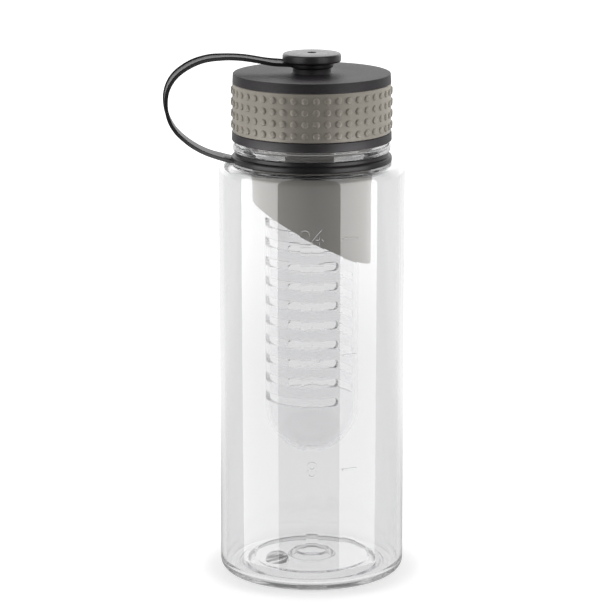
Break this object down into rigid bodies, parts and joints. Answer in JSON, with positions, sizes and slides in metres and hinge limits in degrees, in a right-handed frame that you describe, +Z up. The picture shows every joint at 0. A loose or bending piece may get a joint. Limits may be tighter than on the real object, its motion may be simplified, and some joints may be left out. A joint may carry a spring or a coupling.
{
  "type": "fruit infuser water bottle",
  "caption": "Clear cylindrical water bottle with a screw lid, dotted grip band, swivelling carry loop and a slotted fruit basket held in a slant-cut sleeve.",
  "frame": {"origin": "centre of the base, on the plane of the annular ring that the bottle rests on", "axes": "+Z up along the bottle's axis; the carry loop stands out along -X; the side towards the picture's camera is -Y"},
  "size_m": [0.1045, 0.081, 0.2304],
  "materials": {
    "clear_bottle": "clear polished copolyester",
    "clear_basket": "clear polished copolyester",
    "black_plastic": "satin moulded polypropylene, fine texture",
    "tether_black": "satin flexible moulded polymer",
    "grip_silicone": "matte silicone with raised dots",
    "seal_silicone": "translucent white silicone",
    "sleeve_beige": "smooth satin moulded polymer"
  },
  "bodies": {
    "bottle": {"bottle_body": "clear_bottle"},
    "button": {"swivel_button": "black_plastic"},
    "lid": {"cap_shell": "black_plastic", "grip_band": "grip_silicone", "cap_gasket": "seal_silicone", "infuser_sleeve": "sleeve_beige"},
    "basket": {"infuser_basket": "clear_basket", "basket_seal": "seal_silicone"},
    "tether_eye": {"tether_strap": "tether_black"},
    "tether_ring": {"tether_ring": "tether_black"}
  },
  "joints": [
    {"name": "lid_rise", "type": "slide", "parent": "bottle", "child": "button", "axis": [0, 0, 1], "range_m": [0, 0.0241]},
    {"name": "lid_turn", "type": "hinge", "parent": "button", "child": "lid", "pos_m": [0, 0, 0.2], "axis": [0, 0, 1], "range_deg": [0, 1080]},
    {"name": "basket_pull", "type": "slide", "parent": "lid", "child": "basket", "axis": [0, 0, -1], "range_m": [0, 0.042]},
    {"name": "tether_swivel", "type": "hinge", "parent": "button", "child": "tether_eye", "pos_m": [0, 0, 0.225], "axis": [0, 0, 1], "continuous": true},
    {"name": "ring_stay", "type": "slide", "parent": "tether_eye", "child": "tether_ring", "axis": [0, 0, 1], "range_m": [-0.0241, 0]}
  ],
  "couplings": [
    {"joint": "lid_rise", "follows": "lid_turn", "m_per_rad": 0.0012732},
    {"joint": "ring_stay", "follows": "lid_turn", "m_per_rad": -0.0012732}
  ]
}
